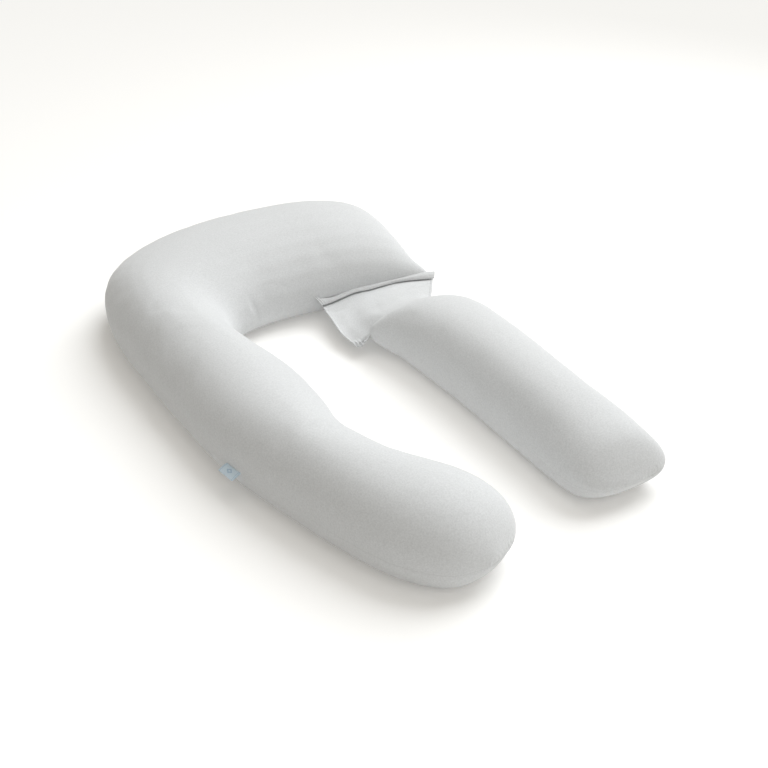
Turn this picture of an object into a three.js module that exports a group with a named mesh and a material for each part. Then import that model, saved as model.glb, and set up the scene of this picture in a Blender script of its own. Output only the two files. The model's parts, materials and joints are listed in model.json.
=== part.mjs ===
// A U-shaped body pillow that lies flat. One long filled body makes the head bar, the left side
// and the rounded foot. A straight filled side arm is joined to the head bar by a flat panel of
// double cloth, which meets the bar under a stitched placket. A folded label is sewn to the side.
// Millimetres, +Z up, +Y towards the head. The pillow rests on the plane z = 0.

import * as THREE from "three";
import { ParametricGeometry } from "three/addons/geometries/ParametricGeometry.js";

// Driving dimensions of the two filled bodies
const MAIN_SEAM_HEIGHT = 60;
const MAIN_CROWN_RISE = { first: 132, last: 112 };
const ARM_SEAM_HEIGHT = 55;
const ARM_CROWN_RISE = { first: 105, last: 111 };
const SECTION_FULLNESS = 0.95;
const UNDERSIDE_RATIO = 0.75;
const END_TAPER_STATIONS = 3.2;
const STEPS_PER_STATION = 3;
const SECTION_SIDES = 24;

// Driving dimensions of the flat pieces
const PANEL_THICKNESS = 2.4;
const PANEL_SAG = 14;
const PANEL_FOLD_DEPTH = 4;
const PLACKET_THICKNESS = 3;
const PLACKET_REACH = 11;
const PLACKET_DROP = 8;
const PLACKET_WAVE = 2;
const LABEL_THICKNESS = 1;
const LABEL_REACH = 20;
const LABEL_DROP = 14;

// The filled bodies are cut across at stations, each with a point on the outer and inner seam.
// From the seam beside the zip, along the head bar and down the left side to the foot:
const MAIN_STATIONS = [
  { outer: [355, 495], inner: [370, 255] },
  { outer: [370, 600], inner: [345, 260] },
  { outer: [315, 670], inner: [275, 270] },
  { outer: [165, 710], inner: [160, 285] },
  { outer: [-35, 715], inner: [30, 295] },
  { outer: [-220, 670], inner: [-80, 285] },
  { outer: [-360, 565], inner: [-160, 240] },
  { outer: [-405, 395], inner: [-180, 155] },
  { outer: [-400, 180], inner: [-155, 50] },
  { outer: [-385, -25], inner: [-125, -60] },
  { outer: [-365, -195], inner: [-120, -175] },
  { outer: [-320, -345], inner: [-125, -295] },
  { outer: [-270, -495], inner: [-80, -410] },
  { outer: [-215, -620], inner: [0, -510] },
  { outer: [-145, -695], inner: [35, -580] },
  { outer: [-85, -710], inner: [40, -630] },
  { outer: [-45, -710], inner: [15, -675] },
];

// From the arm's own foot up to the panel's seam:
const ARM_STATIONS = [
  { outer: [370, -645], inner: [255, -645] },
  { outer: [415, -615], inner: [220, -615] },
  { outer: [410, -560], inner: [200, -560] },
  { outer: [395, -390], inner: [192, -390] },
  { outer: [395, -160], inner: [178, -160] },
  { outer: [390, 25], inner: [150, 25] },
  { outer: [345, 95], inner: [122, 92] },
  { outer: [315, 120], inner: [138, 118] },
];

// Corners of the flat pieces
const PANEL_ZIP_LEFT = new THREE.Vector3(86, 290.2, 66);
const PANEL_ZIP_RIGHT = new THREE.Vector3(374, 257.2, 66);
const PANEL_ARM_EDGE = [
  new THREE.Vector3(76, 104.5, 32),
  new THREE.Vector3(98, 90.5, 32),
  new THREE.Vector3(130, 120.5, 48),
  new THREE.Vector3(220, 120.5, 55),
  new THREE.Vector3(322, 120.5, 55),
];
const PLACKET_LEFT = new THREE.Vector3(66, 293.6, 82);
const PLACKET_RIGHT = new THREE.Vector3(388, 260.6, 84);
const LABEL_HEAD_END = new THREE.Vector3(-364, -206, 60);
const LABEL_FOOT_END = new THREE.Vector3(-351, -252, 60);

const COVER_COLOUR = 0xdcdedf;
const LABEL_COLOUR = 0xc3ccd6;

function fabric(colour) {
  return new THREE.MeshStandardMaterial({ color: colour, roughness: 0.9, metalness: 0 });
}

// ---- Filled bodies ----

// A smooth seam line through points given as [x, y].
function seamLine(points) {
  const corners = points.map(([x, y]) => new THREE.Vector3(x, y, 0));
  return new THREE.CatmullRomCurve3(corners, false, "catmullrom", 0.5);
}

// A power that keeps the sign, so that a circle becomes a slightly squarer section.
function signedPower(value, power) {
  return Math.sign(value) * Math.pow(Math.abs(value), power);
}

// The filling rises over the first few stations from either end. Between them it is full, and
// changes slowly from the first end's rise to the last one's.
function riseAt(station, lastStation, crownRise) {
  const fromEnd = Math.min(station, lastStation - station);
  const share = Math.min(1, fromEnd / END_TAPER_STATIONS);
  const full = THREE.MathUtils.lerp(crownRise.first, crownRise.last, station / lastStation);
  return full * Math.sin((share * Math.PI) / 2);
}

// A cushion swept along its two seams: u runs round the section and v along the seams. The top
// is a crown, and the underside is pressed flat where it reaches the resting plane.
function filledGeometry(stations, seamHeight, crownRise) {
  const outerSeam = seamLine(stations.map((station) => station.outer));
  const innerSeam = seamLine(stations.map((station) => station.inner));
  const lastStation = stations.length - 1;

  function surfacePoint(u, v, target) {
    const outer = outerSeam.getPoint(v);
    const inner = innerSeam.getPoint(v);
    const angle = -u * 2 * Math.PI;
    const across = signedPower(Math.cos(angle), SECTION_FULLNESS);
    const lift = signedPower(Math.sin(angle), SECTION_FULLNESS);
    const rise = riseAt(v * lastStation, lastStation, crownRise);
    const side = lift > 0 ? 1 : UNDERSIDE_RATIO;
    target.lerpVectors(inner, outer, (across + 1) / 2);
    target.z = Math.max(0, seamHeight + lift * side * rise);
  }

  return new ParametricGeometry(surfacePoint, SECTION_SIDES, lastStation * STEPS_PER_STATION);
}

// ---- Flat cloth ----

// A closed sheet of even thickness about a middle surface, given as a function of (u, v).
function sheetGeometry(middlePoint, thickness, stepsAcross, stepsAlong) {
  const slab = new THREE.BoxGeometry(1, 1, 1, stepsAcross, stepsAlong, 1);
  const corners = slab.attributes.position;
  const nudge = 0.01;
  for (let index = 0; index < corners.count; index += 1) {
    const u = corners.getX(index) + 0.5;
    const v = corners.getY(index) + 0.5;
    const middle = middlePoint(u, v);
    const alongU = middlePoint(u + nudge, v).sub(middlePoint(u - nudge, v));
    const alongV = middlePoint(u, v + nudge).sub(middlePoint(u, v - nudge));
    const normal = alongU.cross(alongV).normalize();
    middle.addScaledVector(normal, corners.getZ(index) * thickness);
    corners.setXYZ(index, middle.x, middle.y, middle.z);
  }
  slab.computeVertexNormals();
  return slab;
}

// u runs from the panel's left edge to its right one, v from the arm up to the zip.
function panelMiddle() {
  const armEdge = new THREE.CatmullRomCurve3(PANEL_ARM_EDGE);
  return (u, v) => {
    const atArm = armEdge.getPoint(THREE.MathUtils.clamp(u, 0, 1));
    const atZip = new THREE.Vector3().lerpVectors(PANEL_ZIP_LEFT, PANEL_ZIP_RIGHT, u);
    const point = new THREE.Vector3().lerpVectors(atArm, atZip, v);
    const slack = Math.sin(Math.PI * THREE.MathUtils.clamp(v, 0, 1));
    const fold = PANEL_FOLD_DEPTH * Math.cos(3 * Math.PI * u) * slack;
    point.z -= PANEL_SAG * slack - fold;
    return point;
  };
}

// u runs along the zip, v from the placket's free edge back to the head bar.
function placketMiddle(u, v) {
  const point = new THREE.Vector3().lerpVectors(PLACKET_LEFT, PLACKET_RIGHT, u);
  const out = 1 - v;
  point.y -= PLACKET_REACH * out;
  point.z -= PLACKET_DROP * out + PLACKET_WAVE * Math.sin(3 * Math.PI * u);
  return point;
}

// u runs along the side seam, v from the label's sewn edge out to its fold.
function labelMiddle(u, v) {
  const point = new THREE.Vector3().lerpVectors(LABEL_HEAD_END, LABEL_FOOT_END, u);
  const outward = new THREE.Vector3().subVectors(LABEL_FOOT_END, LABEL_HEAD_END).normalize();
  point.x += outward.y * LABEL_REACH * v;
  point.y -= outward.x * LABEL_REACH * v;
  point.z -= LABEL_DROP * v * v;
  return point;
}

// ---- The pieces ----

function mainPillow() {
  const geometry = filledGeometry(MAIN_STATIONS, MAIN_SEAM_HEIGHT, MAIN_CROWN_RISE);
  return new THREE.Mesh(geometry, fabric(COVER_COLOUR));
}

function sideArm() {
  const geometry = filledGeometry(ARM_STATIONS, ARM_SEAM_HEIGHT, ARM_CROWN_RISE);
  return new THREE.Mesh(geometry, fabric(COVER_COLOUR));
}

function connectorPanel() {
  const geometry = sheetGeometry(panelMiddle(), PANEL_THICKNESS, 20, 10);
  return new THREE.Mesh(geometry, fabric(COVER_COLOUR));
}

function zipPlacket() {
  const geometry = sheetGeometry(placketMiddle, PLACKET_THICKNESS, 24, 2);
  return new THREE.Mesh(geometry, fabric(COVER_COLOUR));
}

function sideLabel() {
  const geometry = sheetGeometry(labelMiddle, LABEL_THICKNESS, 4, 4);
  return new THREE.Mesh(geometry, fabric(LABEL_COLOUR));
}

const pieces = {
  main_pillow: mainPillow(),
  side_arm: sideArm(),
  connector_panel: connectorPanel(),
  zip_placket: zipPlacket(),
  side_label: sideLabel(),
};

const pillow = new THREE.Group();
for (const [name, mesh] of Object.entries(pieces)) {
  mesh.name = name;
  pillow.add(mesh);
}

// The origin is the middle of the resting plane, under the centre of the overall box.
const centre = new THREE.Box3().setFromObject(pillow).getCenter(new THREE.Vector3());
pillow.position.set(-centre.x, -centre.y, 0);

export default pillow;
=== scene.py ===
# A U-shaped body pillow in brushed jersey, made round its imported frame: two stuffed cushions,
# a flat panel of empty cover cloth, a folded placket over the zip and a woven side label.
import json
import math

import bpy
import numpy as np
from bpy.props import FloatProperty, FloatVectorProperty, IntProperty, PointerProperty
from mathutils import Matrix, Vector, noise

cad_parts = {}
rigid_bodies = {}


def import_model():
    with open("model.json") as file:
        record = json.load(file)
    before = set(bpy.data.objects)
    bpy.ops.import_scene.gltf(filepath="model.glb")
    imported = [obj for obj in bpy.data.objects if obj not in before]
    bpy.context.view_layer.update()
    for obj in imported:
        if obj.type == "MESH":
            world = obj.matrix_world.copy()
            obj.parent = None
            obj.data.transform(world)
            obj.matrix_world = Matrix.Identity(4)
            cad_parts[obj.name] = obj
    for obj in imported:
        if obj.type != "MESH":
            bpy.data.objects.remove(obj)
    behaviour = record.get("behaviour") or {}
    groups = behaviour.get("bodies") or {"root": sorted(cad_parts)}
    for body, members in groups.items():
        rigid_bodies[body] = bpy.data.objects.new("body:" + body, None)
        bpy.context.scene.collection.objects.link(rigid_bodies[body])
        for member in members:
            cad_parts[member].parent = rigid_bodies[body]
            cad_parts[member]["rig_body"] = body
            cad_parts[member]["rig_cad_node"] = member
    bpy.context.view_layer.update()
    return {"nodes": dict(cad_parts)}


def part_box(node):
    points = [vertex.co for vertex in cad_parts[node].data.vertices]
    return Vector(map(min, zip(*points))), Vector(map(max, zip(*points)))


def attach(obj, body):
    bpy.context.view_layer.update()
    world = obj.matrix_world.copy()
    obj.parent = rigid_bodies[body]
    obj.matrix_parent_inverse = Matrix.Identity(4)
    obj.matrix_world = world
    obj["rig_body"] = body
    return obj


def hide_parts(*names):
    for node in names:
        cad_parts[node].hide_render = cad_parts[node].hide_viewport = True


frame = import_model()

bl_info = {
    "name": "Body pillow maker",
    "version": (1, 0, 0),
    "blender": (4, 5, 0),
    "location": "3D View > Sidebar > Pillow",
    "description": "Sews a U-shaped body pillow with a joined side arm round its frame",
    "category": "Object",
}

BODY = "root"
MM = 0.001

# Lengths of one pleat where the cloth is gathered.
SEAM_PLEAT = 9 * MM
PANEL_PLEAT = 9.5 * MM

# The stage: the way to the main light, then each lamp's place and the point it is turned to.
FLOOR_SIZE = 30
LAMP_SIZE = 1.6
KEY_SPREAD = math.radians(50)
TOWARD_KEY = (0.85, 0.35, 1.05)
LAMPS = {
    "side": ((1.7, 0.9, 1.5), (0.2, -0.1, 0.1)),
    "front": ((0.1, -2.1, 1.6), (0.2, -0.3, 0.1)),
    "top": ((0.0, -0.2, 1.8), (0.05, -0.1, 0.0)),
}


# ---- Lines of the cut ----
#
# Each point is a share of a CAD node's box along X, Y and Z.

# The strip's sewn edge and its free fold, from the gathered end to the tab.
PLACKET_SEAM = (
    (0.02, 1.056, -0.1), (0.15, 0.876, -0.8), (0.35, 0.826, -0.2), (0.52, 0.636, 0.05),
    (0.75, 0.406, 0.3), (0.92, 0.256, 0.5), (1.02, 0.136, 0.35),
)
PLACKET_FOLD = (
    (0.06, 0.619, -1.45), (0.15, 0.589, -1.18), (0.33, 0.569, -0.52), (0.48, 0.399, -0.32),
    (0.69, 0.299, -0.12), (0.86, -0.011, -0.12), (0.98, -0.271, -0.12),
)
# The panel's four edges: under the placket, free side, round the arm's end, hemmed side.
PANEL_ZIP_EDGE = (
    (0.05, 0.96, 0.44), (0.16, 0.988, 0.54), (0.33, 0.988, 0.77), (0.5, 0.95, 0.84),
    (0.73, 0.931, 0.92), (0.92, 0.855, 0.92), (1.04, 0.788, 0.92),
)
PANEL_LEFT_EDGE = (
    (0.04, 0.056, -0.01), (0.03, 0.179, 0.09), (0.01, 0.351, 0.24), (0.02, 0.56, 0.37),
    (0.03, 0.779, 0.44), (0.05, 0.96, 0.44),
)
PANEL_ARM_EDGE = (
    (0.04, 0.056, -0.01), (0.08, 0.017, 0.07), (0.13, 0.017, 0.34), (0.2, 0.056, 0.7),
    (0.27, -0.002, 1.3), (0.33, -0.078, 1.8), (0.4, -0.116, 2.13), (0.5, -0.106, 2.3),
    (0.6, -0.059, 2.2), (0.7, -0.03, 2.05), (0.8, 0.017, 1.5),
)
PANEL_RIGHT_EDGE = (
    (0.8, 0.017, 1.5), (0.85, 0.341, 0.9), (0.92, 0.512, 0.92), (1.04, 0.788, 0.92),
)
# Folds of the panel: a soft one under the placket and the deep one beside the arm.
PANEL_SOFT_FOLD = (
    (0.05, 0.769, 0.52), (0.11, 0.741, 0.57), (0.19, 0.731, 0.64),
)
PANEL_DEEP_FOLD = (
    (0.07, 0.027, 0.09), (0.11, 0.065, 0.27), (0.15, 0.065, 0.47),
)
# The label: sewn edge head and foot, then fold foot and head.
LABEL_CORNERS = (
    (0.8, 0.89, 1.17), (1.14, 0.08, 1.1), (0.44, 0.03, 0.29), (0.11, 0.92, 0.29),
)
# The main cushion: the fold in its inner corner, a light crease, where its seam gathers,
# and the corner that its zip draws out.
INNER_FOLD = (
    (0.4, 0.71, 0.61), (0.41, 0.7, 0.48), (0.42, 0.7, 0.35), (0.42, 0.7, 0.18),
)
BAR_CREASE = (
    (0.46, 0.72, 0.65), (0.48, 0.72, 0.65), (0.52, 0.72, 0.61), (0.54, 0.71, 0.54),
)
MAIN_GATHERS = (
    (0.53, 0.02, 0.38), (0.46, 0.0, 0.35),
)
ZIP_CORNER = (1.0, 0.68, 0.37)
# The arm: where its seam gathers.
ARM_GATHERS = (
    (0.26, 0.15, 0.28), (0.82, 0.01, 0.39), (0.04, 0.94, 0.4),
)


# ---- Settings ----


class CushionSettings(bpy.types.PropertyGroup):
    """How the stuffed cushions are skinned, blown up and seamed."""

    cell: FloatProperty(
        name="Cloth cell", description="Edge of one cell of the cover while it is blown up",
        default=8.5 * MM, unit="LENGTH",
    )
    draw_in: FloatProperty(
        name="Draw in", description="How far the skin starts inside the finished surface",
        default=5 * MM, unit="LENGTH",
    )
    pressure: FloatProperty(
        name="Filling pressure", description="Push of the filling on the cover", default=4.0,
    )
    steps: IntProperty(
        name="Steps", description="Frames that the cloth takes to settle", default=20,
    )
    seam_shrink: FloatProperty(
        name="Seam shrink", description="Share by which the sewing draws the seam up",
        default=0.05, subtype="FACTOR",
    )
    spread: IntProperty(
        name="Spread", description="Rounds of evening out that part wrinkles from broad swelling",
        default=140,
    )
    tautness: FloatProperty(
        name="Tautness", description="Share of each wrinkle that the full filling pulls out",
        default=0.6, subtype="FACTOR",
    )
    wrinkle: FloatProperty(
        name="Wrinkle", description="Furthest that a wrinkle may stand off the full shape",
        default=1.0 * MM, unit="LENGTH",
    )
    cover: FloatProperty(
        name="Cover thickness", description="The jersey on top of the filled shape",
        default=1.8 * MM, unit="LENGTH",
    )
    seam_depth: FloatProperty(
        name="Seam depth", description="Depth of the valley along the side seam",
        default=0.3 * MM, unit="LENGTH",
    )
    seam_width: FloatProperty(
        name="Seam width", description="Half width of that valley", default=2.4 * MM, unit="LENGTH",
    )
    pucker_depth: FloatProperty(
        name="Pucker depth", description="Depth of the gathers where the seam turns",
        default=1.7 * MM, unit="LENGTH",
    )


class PanelSettings(bpy.types.PropertyGroup):
    """The flat panel of double cloth between the zip and the arm."""

    thickness: FloatProperty(
        name="Thickness", description="Two layers of cover cloth", default=2.0 * MM, unit="LENGTH",
    )
    hem_width: FloatProperty(
        name="Hem width",
        description="Width of the hems at both sides",
        default=7 * MM, unit="LENGTH",
    )
    sag: FloatProperty(
        name="Sag", description="How far the middle hangs below its edges", default=9 * MM,
        unit="LENGTH",
    )
    pleat: FloatProperty(
        name="Pleat", description="Height of the gathered pleats at the lower corner",
        default=2.0 * MM, unit="LENGTH",
    )


class PlacketSettings(bpy.types.PropertyGroup):
    """The folded strip that covers the zip."""

    thickness: FloatProperty(
        name="Cloth thickness",
        description="One layer of the strip",
        default=1.0 * MM, unit="LENGTH",
    )
    bulge: FloatProperty(
        name="Bulge", description="How far the strip bows out between its edges",
        default=3.4 * MM, unit="LENGTH",
    )
    gap: FloatProperty(
        name="Gap", description="Between the two layers of the strip", default=2.2 * MM,
        unit="LENGTH",
    )
    pleat: FloatProperty(
        name="Pleat", description="Height of the pleats at the gathered end", default=1.7 * MM,
        unit="LENGTH",
    )


class LabelSettings(bpy.types.PropertyGroup):
    """The folded woven tab in the side seam."""

    thickness: FloatProperty(
        name="Tape thickness", description="One layer of woven tape", default=0.45 * MM,
        unit="LENGTH",
    )
    bow: FloatProperty(
        name="Bow", description="How far the folded tape stands open in its middle",
        default=1.6 * MM, unit="LENGTH",
    )


class ColourSettings(bpy.types.PropertyGroup):
    """The colours of the cloths."""

    cover: FloatVectorProperty(
        name="Cover", description="Brushed jersey of the cushions", subtype="COLOR",
        default=(0.667, 0.681, 0.692), min=0, max=1,
    )
    tape: FloatVectorProperty(
        name="Label tape", description="Ground of the woven label", subtype="COLOR",
        default=(0.70, 0.83, 0.98), min=0, max=1,
    )
    motif: FloatVectorProperty(
        name="Label motif", description="Woven pattern of the label", subtype="COLOR",
        default=(0.42, 0.58, 0.74), min=0, max=1,
    )


class StageSettings(bpy.types.PropertyGroup):
    """The floor, the lights and the camera."""

    azimuth: FloatProperty(
        name="Azimuth", description="Direction in which the camera looks, from +Y",
        default=math.radians(-28.627), subtype="ANGLE",
    )
    elevation: FloatProperty(
        name="Elevation", description="Height of the camera above the horizon",
        default=math.radians(33.87), subtype="ANGLE",
    )
    distance: FloatProperty(
        name="Distance", description="From the camera to the point it looks at", default=2.618,
        unit="LENGTH",
    )
    aim: FloatVectorProperty(
        name="Aim", description="Point on the floor that the camera looks at",
        default=(0.086, -0.0366, 0.0), subtype="TRANSLATION",
    )
    lens: FloatProperty(name="Lens", description="Focal length in millimetres", default=53.77)
    sky: FloatProperty(name="Sky", description="Strength of the even light", default=0.30)
    key: FloatProperty(name="Key", description="Strength of the soft main light", default=2.35)
    side: FloatProperty(name="Side", description="Power of the lamp beside the arm", default=9.5)
    front: FloatProperty(name="Front", description="Power of the lamp before the feet", default=7.0)
    top: FloatProperty(name="Top", description="Power of the lamp over the middle", default=6.0)


# ---- Working on meshes ----


def deselect_all():
    if bpy.context.object and bpy.context.object.mode != "OBJECT":
        bpy.ops.object.mode_set(mode="OBJECT")
    bpy.ops.object.select_all(action="DESELECT")


def activate(piece):
    """Makes a piece the only selected one, for the operators that follow."""
    deselect_all()
    piece.select_set(True)
    bpy.context.view_layer.objects.active = piece


def points_of(piece):
    points = np.zeros(len(piece.data.vertices) * 3)
    piece.data.vertices.foreach_get("co", points)
    return points.reshape(-1, 3)


def normals_of(piece):
    normals = np.zeros(len(piece.data.vertices) * 3)
    piece.data.vertex_normals.foreach_get("vector", normals)
    return normals.reshape(-1, 3)


def put_points(piece, points):
    piece.data.vertices.foreach_set("co", np.asarray(points, float).ravel())
    piece.data.update()


def apply_modifier(piece, kind, **settings):
    """Adds a modifier, sets it up and applies it."""
    activate(piece)
    bpy.ops.object.modifier_add(type=kind)
    modifier = piece.modifiers[-1]
    for name, value in settings.items():
        setattr(modifier, name, value)
    bpy.ops.object.modifier_apply(modifier=modifier.name)


def select_vertices(piece, chosen):
    """Selects the marked vertices and nothing else, in object mode."""
    mesh = piece.data
    mesh.polygons.foreach_set("select", np.zeros(len(mesh.polygons), bool))
    mesh.edges.foreach_set("select", np.zeros(len(mesh.edges), bool))
    mesh.vertices.foreach_set("select", np.asarray(chosen, bool))


def edit(piece, *steps):
    """Runs edit-mode operators on what is selected. A step is (operator, its settings)."""
    activate(piece)
    bpy.ops.object.mode_set(mode="EDIT")
    bpy.ops.mesh.select_mode(type="VERT")
    for operator, settings in steps:
        operator(**settings)
    bpy.ops.object.mode_set(mode="OBJECT")


def smooth(piece):
    activate(piece)
    bpy.ops.object.shade_smooth()


def finish_piece(piece, node, material):
    """Puts a finished piece on its body, in the place of its CAD node."""
    piece.data.materials.clear()
    piece.data.materials.append(material)
    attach(piece, BODY)
    if node:
        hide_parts(node)
    return piece


def place_in(node, share):
    """The point at a share of a node's box along X, Y and Z."""
    low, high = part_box(node)
    return Vector(low[axis] + share[axis] * (high[axis] - low[axis]) for axis in range(3))


def neighbour_average(piece):
    """A function that gives each vertex the average of its neighbours' values."""
    ends = np.zeros(len(piece.data.edges) * 2, int)
    piece.data.edges.foreach_get("vertices", ends)
    first, second = ends.reshape(-1, 2).T
    count = len(piece.data.vertices)
    shared = np.bincount(ends, minlength=count)[:, None]

    def average(values):
        total = [
            np.bincount(first, column[second], count) + np.bincount(second, column[first], count)
            for column in values.T
        ]
        return np.stack(total, axis=1) / shared

    return average


def round_off(piece, rounds):
    """Rounds small facets off without drawing the whole shape in."""
    average = neighbour_average(piece)
    points = points_of(piece)
    for share in (0.6, -0.62) * rounds:
        points += share * (average(points) - points)
    put_points(piece, points)


def bell(distance, width):
    return np.exp(-((distance / width) ** 2))


def noise_at(points, scale, offset=0.0):
    """Smooth noise from about -1 to 1 at each point."""
    shift = Vector((offset, offset * 0.7, offset * 1.3))
    return np.array([noise.noise(Vector(point) * scale + shift) for point in points])


# ---- Shader arithmetic ----


class Signal:
    """A node's output that takes part in Python arithmetic by adding Math nodes."""

    def __init__(self, recipe, socket):
        self.recipe = recipe
        self.socket = socket

    def math(self, operation, *values):
        inputs = dict(enumerate(values))
        return self.recipe.add("ShaderNodeMath", {"operation": operation}, inputs).out("Value")

    def __add__(self, other):
        return self.math("ADD", self, other)

    def __radd__(self, other):
        return self.math("ADD", other, self)

    def __sub__(self, other):
        return self.math("SUBTRACT", self, other)

    def __rsub__(self, other):
        return self.math("SUBTRACT", other, self)

    def __mul__(self, other):
        return self.math("MULTIPLY", self, other)

    def __rmul__(self, other):
        return self.math("MULTIPLY", other, self)

    def __abs__(self):
        return self.math("ABSOLUTE", self)

    def __lt__(self, other):
        return self.math("LESS_THAN", self, other)

    def __gt__(self, other):
        return self.math("GREATER_THAN", self, other)


class Node:
    """A shader node with its outputs at hand."""

    def __init__(self, recipe, node):
        self.recipe = recipe
        self.node = node

    def out(self, name):
        named = [s for s in self.node.outputs if s.enabled and name in (s.name, s.identifier)]
        return Signal(self.recipe, named[0])


class Recipe:
    """One material, written as Python expressions on its nodes."""

    def __init__(self, name):
        self.material = bpy.data.materials.new(name)
        self.material.use_nodes = True
        self.tree = self.material.node_tree
        self.tree.nodes.clear()

    def add(self, kind, settings, inputs):
        """Adds a node of a kind with its settings, then fills or links its inputs."""
        node = self.tree.nodes.new(kind)
        for name, value in settings.items():
            setattr(node, name, value)
        for key, value in inputs.items():
            socket = self.input_of(node, key)
            if isinstance(value, Signal):
                self.tree.links.new(value.socket, socket)
            else:
                socket.default_value = value
        return Node(self, node)

    @staticmethod
    def input_of(node, key):
        if isinstance(key, int):
            return node.inputs[key]
        return [s for s in node.inputs if s.enabled and key in (s.name, s.identifier)][0]

    def noise(self, where, scale, detail=2.0, roughness=0.5):
        inputs = {"Vector": where, "Scale": scale, "Detail": detail, "Roughness": roughness}
        return self.add("ShaderNodeTexNoise", {}, inputs).out("Fac")

    def mix(self, share, first, second):
        settings = {"data_type": "RGBA"}
        inputs = {"Factor_Float": share, "A_Color": first, "B_Color": second}
        return self.add("ShaderNodeMix", settings, inputs).out("Result_Color")

    def range(self, value, low, high, new_low=0.0, new_high=1.0):
        inputs = {"Value": value, "From Min": low, "From Max": high}
        inputs.update({"To Min": new_low, "To Max": new_high})
        return self.add("ShaderNodeMapRange", {"clamp": True}, inputs).out("Result")

    def bump(self, height, distance, strength):
        inputs = {"Height": height, "Distance": distance, "Strength": strength}
        return self.add("ShaderNodeBump", {}, inputs).out("Normal")

    def finish(self, inputs):
        """The shader, its constants and the output."""
        shader = self.add("ShaderNodeBsdfPrincipled", {}, inputs).out("BSDF")
        self.add("ShaderNodeOutputMaterial", {}, {"Surface": shader})
        return self.material


def shade(colour, factor):
    return tuple(min(1.0, part * factor) for part in colour[:3]) + (1.0,)


def brushed_jersey(name, colour, seam_height=None):
    """Soft knitted cloth with a short nap. A seam height adds the side seam's line and puckers,
    with painted shade in the cover's colour along the line, strongest towards the front.
    """
    recipe = Recipe(name)
    where = recipe.add("ShaderNodeTexCoord", {}, {}).out("Object")
    flecks = recipe.noise(where, 300.0, 3.0, 0.68)
    mottle = recipe.noise(where, 75.0, 3.0, 0.6)
    patches = recipe.noise(where, 7.0, 2.0)
    tone = recipe.range(flecks, 0.3, 0.66) * 0.66 + mottle * 0.22 + patches * 0.12
    base = recipe.mix(tone, shade(colour, 0.85), shade(colour, 1.06))
    loops = recipe.add(
        "ShaderNodeTexVoronoi", {"feature": "SMOOTH_F1"}, {"Vector": where, "Scale": 760.0}
    ).out("Distance")
    nap = recipe.noise(where, 1300.0, 2.0, 0.7)
    height = flecks * 0.6 + loops * 0.25 + nap * 0.15
    if seam_height is not None:
        place = recipe.add("ShaderNodeSeparateXYZ", {}, {"Vector": where})
        sway = (mottle - 0.5) * 1.2 * MM
        away = abs(place.out("Z") - seam_height + sway)
        # The seam line: a valley in the bump and painted shade in the colour, fading from the front
        # towards the back.
        line = recipe.range(away, 0.0, 1.3 * MM, 1.0, 0.0)
        line = line * recipe.range(place.out("Y"), -0.6, -0.42, 1.0, 0.12)
        plan = recipe.add(
            "ShaderNodeCombineXYZ", {}, {"X": place.out("X"), "Y": place.out("Y")}
        ).out("Vector")
        creases = recipe.noise(plan, 120.0, 2.0) * recipe.range(away, 0.0, 16 * MM, 1.0, 0.0)
        # Painted shade: the cover darkened along the seam line.
        base = recipe.mix(line * 0.22, base, shade(colour, 0.55))
        height = height - line * 0.9 + creases * recipe.range(patches, 0.42, 0.6) * 2.5
    return recipe.finish({
        "Base Color": base,
        "Roughness": recipe.range(flecks, 0.3, 0.7, 0.86, 0.97),
        "Normal": recipe.bump(height, 1.0 * MM, 0.4),
        "Specular IOR Level": 0.18,
        "Sheen Weight": 0.28,
        "Sheen Roughness": 0.55,
    })


def woven_label(name, ground, motif):
    """Woven tape: fine ribs, a border line and a small lozenge, laid out on the tape's own map."""
    recipe = Recipe(name)
    coords = recipe.add("ShaderNodeTexCoord", {}, {})
    along = recipe.add("ShaderNodeSeparateXYZ", {}, {"Vector": coords.out("UV")})
    u = along.out("X")
    v = along.out("Y")
    from_middle = abs(u - 0.5)
    down = abs(v - 0.28)
    lozenge = (from_middle * 2.0 + down * 4.0) < 0.4
    heart = (from_middle * 2.0 + down * 4.0) < 0.17
    border = abs(from_middle - 0.43) < 0.012
    pattern = lozenge - heart + border
    weave = recipe.noise(coords.out("Object"), 1900.0, 2.0)
    ribs = recipe.add(
        "ShaderNodeTexWave", {"wave_type": "BANDS", "bands_direction": "X"},
        {"Vector": coords.out("UV"), "Scale": 22.0, "Distortion": 0.6},
    ).out("Fac")
    cloth = recipe.mix(weave, shade(ground, 0.9), shade(ground, 1.1))
    base = recipe.mix(recipe.range(pattern, 0.0, 1.0, 0.0, 0.85), cloth, shade(motif, 1.0))
    return recipe.finish({
        "Base Color": base,
        "Roughness": recipe.range(weave, 0.3, 0.7, 0.6, 0.75),
        "Normal": recipe.bump(ribs * 0.6 + weave * 0.4, 0.15 * MM, 0.35),
        "Specular IOR Level": 0.4,
        "Sheen Weight": 0.1,
    })


# ---- Stuffed cushions ----


def closed_copy(node, name):
    """A new closed piece with a CAD node's shape."""
    piece = frame["nodes"][node].copy()
    piece.data = piece.data.copy()
    piece.name = name
    piece.data.name = name
    piece.parent = None
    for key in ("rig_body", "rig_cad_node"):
        del piece[key]
    bpy.context.scene.collection.objects.link(piece)
    edit(
        piece,
        (bpy.ops.mesh.select_all, {"action": "SELECT"}),
        (bpy.ops.mesh.remove_doubles, {"threshold": 0.02 * MM}),
        (bpy.ops.mesh.normals_make_consistent, {"inside": False}),
    )
    return piece


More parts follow.
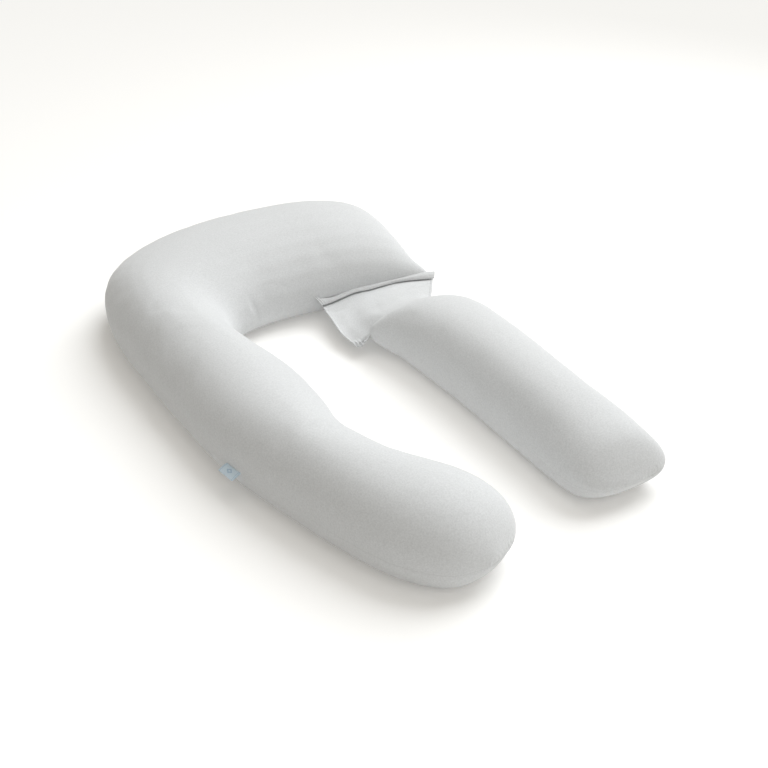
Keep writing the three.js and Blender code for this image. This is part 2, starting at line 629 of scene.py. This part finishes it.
def blow_up(piece, seam_height, settings):
    """Swells the skin and draws the seam up. Only a share of the fine wrinkles is kept."""
    shape = points_of(piece)
    outward = normals_of(piece)
    start = shape - outward * settings.draw_in
    group = piece.vertex_groups.new(name="seam_pull")
    for index, weight in enumerate(bell(shape[:, 2] - seam_height, 14 * MM)):
        if weight > 0.01:
            group.add([index], float(weight), "REPLACE")
    put_points(piece, start)

    activate(piece)
    bpy.ops.object.modifier_add(type="CLOTH")
    cloth = piece.modifiers[-1]
    cloth.point_cache.frame_end = settings.steps
    cloth.settings.quality = 5
    cloth.settings.mass = 0.3
    cloth.settings.tension_stiffness = 14
    cloth.settings.compression_stiffness = 10
    cloth.settings.shear_stiffness = 6
    cloth.settings.bending_stiffness = 3.0
    cloth.settings.use_pressure = True
    cloth.settings.uniform_pressure_force = settings.pressure
    cloth.settings.effector_weights.gravity = 0
    cloth.settings.vertex_group_shrink = group.name
    cloth.settings.shrink_min = 0.0
    cloth.settings.shrink_max = settings.seam_shrink
    cloth.collision_settings.use_collision = False
    for step in range(1, settings.steps + 1):
        bpy.context.scene.frame_set(step)
    bpy.ops.object.modifier_apply(modifier=cloth.name)
    bpy.context.scene.frame_set(1)
    piece.vertex_groups.clear()

    average = neighbour_average(piece)
    swelling = np.sum((points_of(piece) - start) * outward, axis=1, keepdims=True)
    for _ in range(12):
        swelling += 0.5 * (average(swelling) - swelling)
    broad = swelling.copy()
    for _ in range(settings.spread):
        broad += 0.5 * (average(broad) - broad)
    wrinkles = (swelling - broad) * (1 - settings.tautness)
    wrinkles = settings.wrinkle * np.tanh(wrinkles / settings.wrinkle)
    put_points(piece, shape + outward * wrinkles)


def lay_flat(piece):
    """Presses the underside flat on the surface, with a soft edge round the flat."""
    points = points_of(piece)
    edge = 6 * MM
    height = points[:, 2]
    rounded = np.where(height < edge, np.maximum(0.0, height + edge) ** 2 / (4 * edge), height)
    points[:, 2] = np.where(height < -edge, 0.0, rounded)
    put_points(piece, points)


def distance_to(points, places):
    """How far each point is from the nearest of some places."""
    return np.min([np.linalg.norm(points - np.array(place), axis=1) for place in places], axis=0)


def draw_out(piece, place, shift, reach):
    """Pulls the cover round one place out into a soft corner."""
    points = points_of(piece)
    share = bell(np.linalg.norm(points - np.array(place), axis=1), reach)
    put_points(piece, points + share[:, None] * np.array(shift))


def refine_seam(piece, seam_height, gathers):
    """Divides the faces beside the side seam and round its gathers once more."""
    points = points_of(piece)
    near = np.abs(points[:, 2] - seam_height) < 9 * MM
    near |= distance_to(points, gathers) < 52 * MM
    select_vertices(piece, near)
    edit(piece, (bpy.ops.mesh.subdivide, {"number_cuts": 1, "smoothness": 0.0}))


def sew_seam(piece, seam_height, gathers, settings):
    """Presses the side seam's valley into the surface, with puckers where it gathers."""
    points = points_of(piece)
    normals = normals_of(piece)
    away = np.abs(points[:, 2] - seam_height)
    band = away < 45 * MM
    plan = points[band] * np.array([1.0, 1.0, 0.0])
    away = away[band]
    upright = 1.0 - np.abs(normals[band, 2]) ** 2
    from_gather = distance_to(points[band], gathers)
    turn = bell(from_gather, 48 * MM)
    pleats = (0.5 + 0.5 * np.cos(2 * np.pi * from_gather / SEAM_PLEAT)) ** 2
    pleats *= bell(from_gather, 26 * MM) * np.exp(-away / (15 * MM))
    broad = np.clip(0.5 + noise_at(plan, 14.0, 3.1), 0.0, 1.0)
    creases = (1.0 - np.abs(noise_at(plan, 62.0, 5.7))) ** 4
    puckers = (0.5 * turn + 0.15 * broad) * creases * np.exp(-away / (10 * MM)) + pleats
    puckers *= settings.pucker_depth * (1 - 0.5 * bell(away, 2 * MM))
    valley = settings.seam_depth * (0.5 + 2.2 * turn) * bell(away, settings.seam_width)
    points[band] -= normals[band] * ((valley + puckers) * upright)[:, None]
    put_points(piece, points)


def press_trough(piece, path, depth, width):
    """Presses a soft trough into the surface along a line of points, fading at both ends."""
    points = points_of(piece)
    normals = normals_of(piece)
    line = [Vector(point) for point in path]
    total = len(line) - 1
    press = np.zeros(len(points))
    for index in range(total):
        start, end = np.array(line[index]), np.array(line[index + 1])
        run = end - start
        share = np.clip(((points - start) @ run) / (run @ run), 0, 1)
        gap = np.linalg.norm(points - (start + share[:, None] * run), axis=1)
        along = (index + share) / total
        fade = np.sin(np.pi * np.clip(along, 0.02, 0.98)) ** 0.7
        press = np.maximum(press, bell(gap, width) * fade)
    put_points(piece, points - normals * (press * depth)[:, None])


def stuffed_cushion(node, name, gathers, settings, colour, troughs=(), corners=()):
    """Copies the CAD solid, skins it evenly, blows it up, lays it down and seams it."""
    piece = closed_copy(node, name)
    seam_height = seam_height_of(piece)
    places = [place_in(node, share) for share in gathers]
    apply_modifier(piece, "REMESH", mode="VOXEL", voxel_size=settings.cell, use_smooth_shade=True)
    round_off(piece, 30)
    blow_up(piece, seam_height, settings)
    apply_modifier(piece, "SUBSURF", levels=1, render_levels=1)
    put_points(piece, points_of(piece) + normals_of(piece) * settings.cover)
    lay_flat(piece)
    for share, shift, reach in corners:
        draw_out(piece, place_in(node, share), shift, reach)
    for path, depth, width in troughs:
        press_trough(piece, [place_in(node, share) for share in path], depth, width)
    refine_seam(piece, seam_height, places)
    sew_seam(piece, seam_height, places, settings)
    smooth(piece)
    finish_piece(piece, node, brushed_jersey(name + "_jersey", colour, seam_height))
    return piece


def seam_height_of(piece):
    """The height of the CAD solid's side seam: its widest level, where the outline lies."""
    points = points_of(piece)
    outline = points[np.argmin(points[:, 0])]
    return float(outline[2])


# ---- Flat cloths ----


def cloth_grid(name, columns, rows):
    """A flat unit grid with its own map. Its X and Y run from 0 to 1 along the map."""
    deselect_all()
    bpy.ops.mesh.primitive_grid_add(x_subdivisions=columns, y_subdivisions=rows, size=1)
    piece = bpy.context.object
    piece.name = name
    piece.data.name = name
    points = points_of(piece)
    return piece, points[:, 0] + 0.5, points[:, 1] + 0.5


def thicken(piece, thickness):
    """Turns the sheet into a closed cloth of even thickness about its middle."""
    edit(
        piece,
        (bpy.ops.mesh.select_all, {"action": "SELECT"}),
        (bpy.ops.mesh.normals_make_consistent, {"inside": False}),
    )
    apply_modifier(
        piece, "SOLIDIFY", thickness=thickness, offset=0.0, use_even_offset=False, use_rim=True
    )
    smooth(piece)


def curve_through(points, share):
    """Positions at shares of the length of a smooth line through given points."""
    line = np.array([tuple(point) for point in points])
    reach = np.concatenate([[0.0], np.cumsum(np.linalg.norm(np.diff(line, axis=0), axis=1))])
    place = np.interp(share, reach / reach[-1], np.arange(len(line)))
    line = np.vstack([2 * line[0] - line[1], line, 2 * line[-1] - line[-2]])
    index = np.minimum(place.astype(int), len(line) - 4)
    t = (place - index)[:, None]
    a, b, c, d = (line[index + k] for k in range(4))
    return 0.5 * (2 * b + (c - a) * t + (2 * a - 5 * b + 4 * c - d) * t**2
                  + (3 * b - a - 3 * c + d) * t**3)


def line_in(node, shares, where):
    return curve_through([place_in(node, share) for share in shares], where)


def crowd_ends(share, amount):
    """Moves even shares closer together towards both ends."""
    return share - amount * np.sin(2 * np.pi * share) / (2 * np.pi)


def connector_cloth(settings, material):
    """The empty cover cloth that runs from under the placket down to the arm's end."""
    node = "connector_panel"
    piece, u, v = cloth_grid("connector_cloth", 190, 100)
    u = crowd_ends(u, 0.62)
    v = crowd_ends(v, 0.4)
    across, down = u[:, None], v[:, None]
    foot = line_in(node, PANEL_ARM_EDGE, u)
    head = line_in(node, PANEL_ZIP_EDGE, u)
    left = line_in(node, PANEL_LEFT_EDGE, v)
    right = line_in(node, PANEL_RIGHT_EDGE, v)
    corners = [np.array(place_in(node, share)) for share in
               (PANEL_ARM_EDGE[0], PANEL_ARM_EDGE[-1], PANEL_ZIP_EDGE[0], PANEL_ZIP_EDGE[-1])]
    points = (1 - down) * foot + down * head + (1 - across) * left + across * right
    points -= (1 - across) * (1 - down) * corners[0] + across * (1 - down) * corners[1]
    points -= (1 - across) * down * corners[2] + across * down * corners[3]
    points[:, 2] -= settings.sag * np.sin(np.pi * v) * np.sin(np.pi * u) ** 0.8
    put_points(piece, points)

    width = (corners[3] - corners[2])[0]
    depth = (corners[2] - corners[0])[1]
    from_left, from_right = u * width, (1 - u) * width
    from_arm, from_zip = v * depth, (1 - v) * depth
    side = np.minimum(from_left, from_right)
    hem = 0.6 * MM / (1 + np.exp((side - settings.hem_width) / (0.35 * MM)))
    hem -= 0.7 * MM * bell(side - settings.hem_width, 1.0 * MM)
    tight = noise_at(np.stack([0 * u, from_arm, from_left > 0.1], axis=1), 150.0, 2.2)
    puckers = 1.1 * MM * tight * bell(side - 0.7 * settings.hem_width, settings.hem_width)
    zip_puckers = noise_at(np.stack([from_left, 0 * v, 0 * v], axis=1), 70.0, 7.7)
    puckers += 1.1 * MM * zip_puckers * np.exp(-from_zip / (16 * MM))
    drape = 1.3 * MM * noise_at(np.stack([from_left, from_arm, 0 * u], axis=1), 22.0, 4.0)
    drape *= np.sin(np.pi * v)
    corner = bell(from_left - 14 * MM, 17 * MM)
    pleats = settings.pleat * np.sin(2 * np.pi * from_left / PANEL_PLEAT)
    pleats *= corner * bell(from_arm, 15 * MM)
    turned = 4.5 * MM * corner * bell(from_arm - 12 * MM, 8 * MM)
    rise = hem + puckers + drape + pleats + turned
    put_points(piece, points_of(piece) + normals_of(piece) * rise[:, None])
    press_trough(piece, [place_in(node, share) for share in PANEL_SOFT_FOLD], 2.2 * MM, 6 * MM)
    press_trough(piece, [place_in(node, share) for share in PANEL_DEEP_FOLD], 7 * MM, 4 * MM)

    thicken(piece, settings.thickness)
    finish_piece(piece, node, material)
    return piece


def placket_fold(settings, material):
    """A strip folded in two along its free edge, sewn into the head bar's inner seam."""
    node = "zip_placket"
    piece, u, v = cloth_grid("placket_fold", 300, 36)
    u = crowd_ends(u, 0.5)
    seam = line_in(node, PLACKET_SEAM, u)
    fold = line_in(node, PLACKET_FOLD, u)
    length = (place_in(node, PLACKET_SEAM[-1]) - place_in(node, PLACKET_SEAM[0])).length
    from_seam = 1 - np.abs(2 * v - 1)
    outward = np.cross(fold - seam, (1.0, 0.0, 0.0))
    outward /= np.linalg.norm(outward, axis=1, keepdims=True)
    outward *= -np.sign(outward[:, 1:2])
    bow = settings.bulge * np.sin(np.pi * from_seam) ** 0.8
    bow -= 0.6 * MM * bell(from_seam - 0.3, 0.06)
    bow += 0.9 * MM * noise_at(np.stack([u * length, 0 * u, 0 * u], axis=1), 30.0, 1.4) * from_seam
    gathered = u * length
    bow += (settings.pleat * np.cos(2 * np.pi * gathered / SEAM_PLEAT) * bell(gathered, 17 * MM)
            * (1 - 0.4 * from_seam))
    bow += 3 * MM * bell(gathered, 12 * MM) * from_seam
    closing = np.minimum(1.0, 16 * np.minimum(u, 1 - u))
    behind = (v > 0.5) * settings.gap * closing * np.minimum(1.0, 5 * (1 - from_seam))
    points = seam + (fold - seam) * from_seam[:, None] + outward * (bow - behind)[:, None]
    put_points(piece, points)
    thicken(piece, settings.thickness)
    finish_piece(piece, node, material)
    strip = (place_in(node, PLACKET_FOLD[3]) - place_in(node, PLACKET_SEAM[3])).length
    return piece


def label_tab(settings, material):
    """Woven tape folded in two, with both ends sewn into the side seam."""
    piece, u, v = cloth_grid("label_tab", 24, 48)
    head, foot, fold_foot, fold_head = (
        np.array(place_in("side_label", share)) for share in LABEL_CORNERS
    )
    out = (1 - np.abs(2 * v - 1))[:, None]
    along = u[:, None]
    sewn = head + along * (foot - head)
    fold = fold_head + along * (fold_foot - fold_head)
    points = sewn + out * (fold - sewn)
    open_by = settings.bow * np.sin(np.pi * out[:, 0]) * np.sign(v - 0.5)
    points[:, 2] -= open_by - 1.2 * MM * np.sin(np.pi * out[:, 0])
    put_points(piece, points)
    thicken(piece, settings.thickness)
    finish_piece(piece, "side_label", material)
    return piece


# ---- Stage ----


def make_floor():
    deselect_all()
    bpy.ops.mesh.primitive_plane_add(size=FLOOR_SIZE)
    floor = bpy.context.object
    floor.name = "floor"
    floor.data.materials.append(
        Recipe("pale_floor").finish({
            "Base Color": (0.9, 0.896, 0.888, 1.0),
            "Roughness": 0.9,
            "Specular IOR Level": 0.0,
            "Emission Color": (1.0, 0.985, 0.955, 1.0),
            "Emission Strength": 0.15,
        })
    )


def make_world(strength):
    world = bpy.data.worlds.new("even_sky")
    world.use_nodes = True
    background = world.node_tree.nodes["Background"]
    background.inputs["Color"].default_value = (1.0, 0.94, 0.83, 1.0)
    background.inputs["Strength"].default_value = strength
    bpy.context.scene.world = world


def make_key(toward, strength):
    """A broad, soft light from one direction, as strong everywhere."""
    bpy.ops.object.light_add(type="SUN")
    lamp = bpy.context.object
    lamp.name = "key"
    lamp.data.energy = strength
    lamp.data.angle = KEY_SPREAD
    lamp.data.color = (0.955, 0.98, 1.0)
    lamp.rotation_euler = (-Vector(toward)).to_track_quat("-Z", "Y").to_euler()


def make_lamp(name, place, aim, power):
    """A broad lamp near one part of the pillow, whose light fades towards the others."""
    bpy.ops.object.light_add(type="AREA", location=place)
    lamp = bpy.context.object
    lamp.name = name
    lamp.data.shape = "DISK"
    lamp.data.size = LAMP_SIZE
    lamp.data.energy = power
    lamp.rotation_euler = (Vector(aim) - Vector(place)).to_track_quat("-Z", "Y").to_euler()


def make_camera(settings):
    level = math.cos(settings.elevation)
    view = Vector((
        -math.sin(settings.azimuth) * level,
        math.cos(settings.azimuth) * level,
        -math.sin(settings.elevation),
    ))
    bpy.ops.object.camera_add(location=Vector(settings.aim) - view * settings.distance)
    camera = bpy.context.object
    camera.name = "camera"
    camera.rotation_euler = view.to_track_quat("-Z", "Y").to_euler()
    camera.data.lens = settings.lens
    camera.data.sensor_width = 36
    bpy.context.scene.camera = camera


# ---- Operators ----


class PILLOW_OT_main_cushion(bpy.types.Operator):
    """Stuffs and seams the head bar and the curved side"""

    bl_idname = "pillow.main_cushion"
    bl_label = "Main cushion"

    def execute(self, context):
        scene = context.scene
        stuffed_cushion(
            "main_pillow", "main_cushion", MAIN_GATHERS, scene.pillow_cushion,
            scene.pillow_colours.cover,
            troughs=((INNER_FOLD, 2.6 * MM, 8 * MM), (BAR_CREASE, 0.9 * MM, 4 * MM)),
            corners=((ZIP_CORNER, (17 * MM, -4 * MM, 3 * MM), 40 * MM),),
        )
        return {"FINISHED"}


class PILLOW_OT_arm_cushion(bpy.types.Operator):
    """Stuffs and seams the straight side arm"""

    bl_idname = "pillow.arm_cushion"
    bl_label = "Side arm"

    def execute(self, context):
        scene = context.scene
        stuffed_cushion(
            "side_arm", "arm_cushion", ARM_GATHERS, scene.pillow_cushion,
            scene.pillow_colours.cover,
        )
        return {"FINISHED"}


class PILLOW_OT_flat_cloths(bpy.types.Operator):
    """Lays the panel, the placket and the label"""

    bl_idname = "pillow.flat_cloths"
    bl_label = "Flat cloths"

    def execute(self, context):
        scene = context.scene
        colours = scene.pillow_colours
        cloth = brushed_jersey("flat_jersey", colours.cover)
        tape = woven_label("woven_label", colours.tape, colours.motif)
        placket_fold(scene.pillow_placket, cloth)
        connector_cloth(scene.pillow_panel, cloth)
        label_tab(scene.pillow_label, tape)
        return {"FINISHED"}


class PILLOW_OT_stage(bpy.types.Operator):
    """Sets out the floor, the soft lights and the camera"""

    bl_idname = "pillow.stage"
    bl_label = "Stage"

    def execute(self, context):
        settings = context.scene.pillow_stage
        make_floor()
        make_world(settings.sky)
        make_key(TOWARD_KEY, settings.key)
        for name, (place, aim) in LAMPS.items():
            make_lamp(name, place, aim, getattr(settings, name))
        make_camera(settings)
        context.scene.view_settings.view_transform = "Standard"
        return {"FINISHED"}


class PILLOW_PT_panel(bpy.types.Panel):
    """The steps of the pillow, in the order in which they are made."""

    bl_label = "Body pillow"
    bl_idname = "PILLOW_PT_panel"
    bl_space_type = "VIEW_3D"
    bl_region_type = "UI"
    bl_category = "Pillow"

    def draw(self, context):
        for operator in OPERATORS:
            self.layout.operator(operator.bl_idname)


OPERATORS = (
    PILLOW_OT_main_cushion,
    PILLOW_OT_arm_cushion,
    PILLOW_OT_flat_cloths,
    PILLOW_OT_stage,
)
SETTINGS = {
    "pillow_cushion": CushionSettings,
    "pillow_panel": PanelSettings,
    "pillow_placket": PlacketSettings,
    "pillow_label": LabelSettings,
    "pillow_colours": ColourSettings,
    "pillow_stage": StageSettings,
}
CLASSES = (*SETTINGS.values(), *OPERATORS, PILLOW_PT_panel)


def register():
    for entry in CLASSES:
        bpy.utils.register_class(entry)
    for name, group in SETTINGS.items():
        setattr(bpy.types.Scene, name, PointerProperty(type=group))


def unregister():
    for name in SETTINGS:
        delattr(bpy.types.Scene, name)
    for entry in reversed(CLASSES):
        bpy.utils.unregister_class(entry)


def main():
    register()
    bpy.ops.pillow.main_cushion()
    bpy.ops.pillow.arm_cushion()
    bpy.ops.pillow.flat_cloths()
    bpy.ops.pillow.stage()


if __name__ == "__main__":
    main()
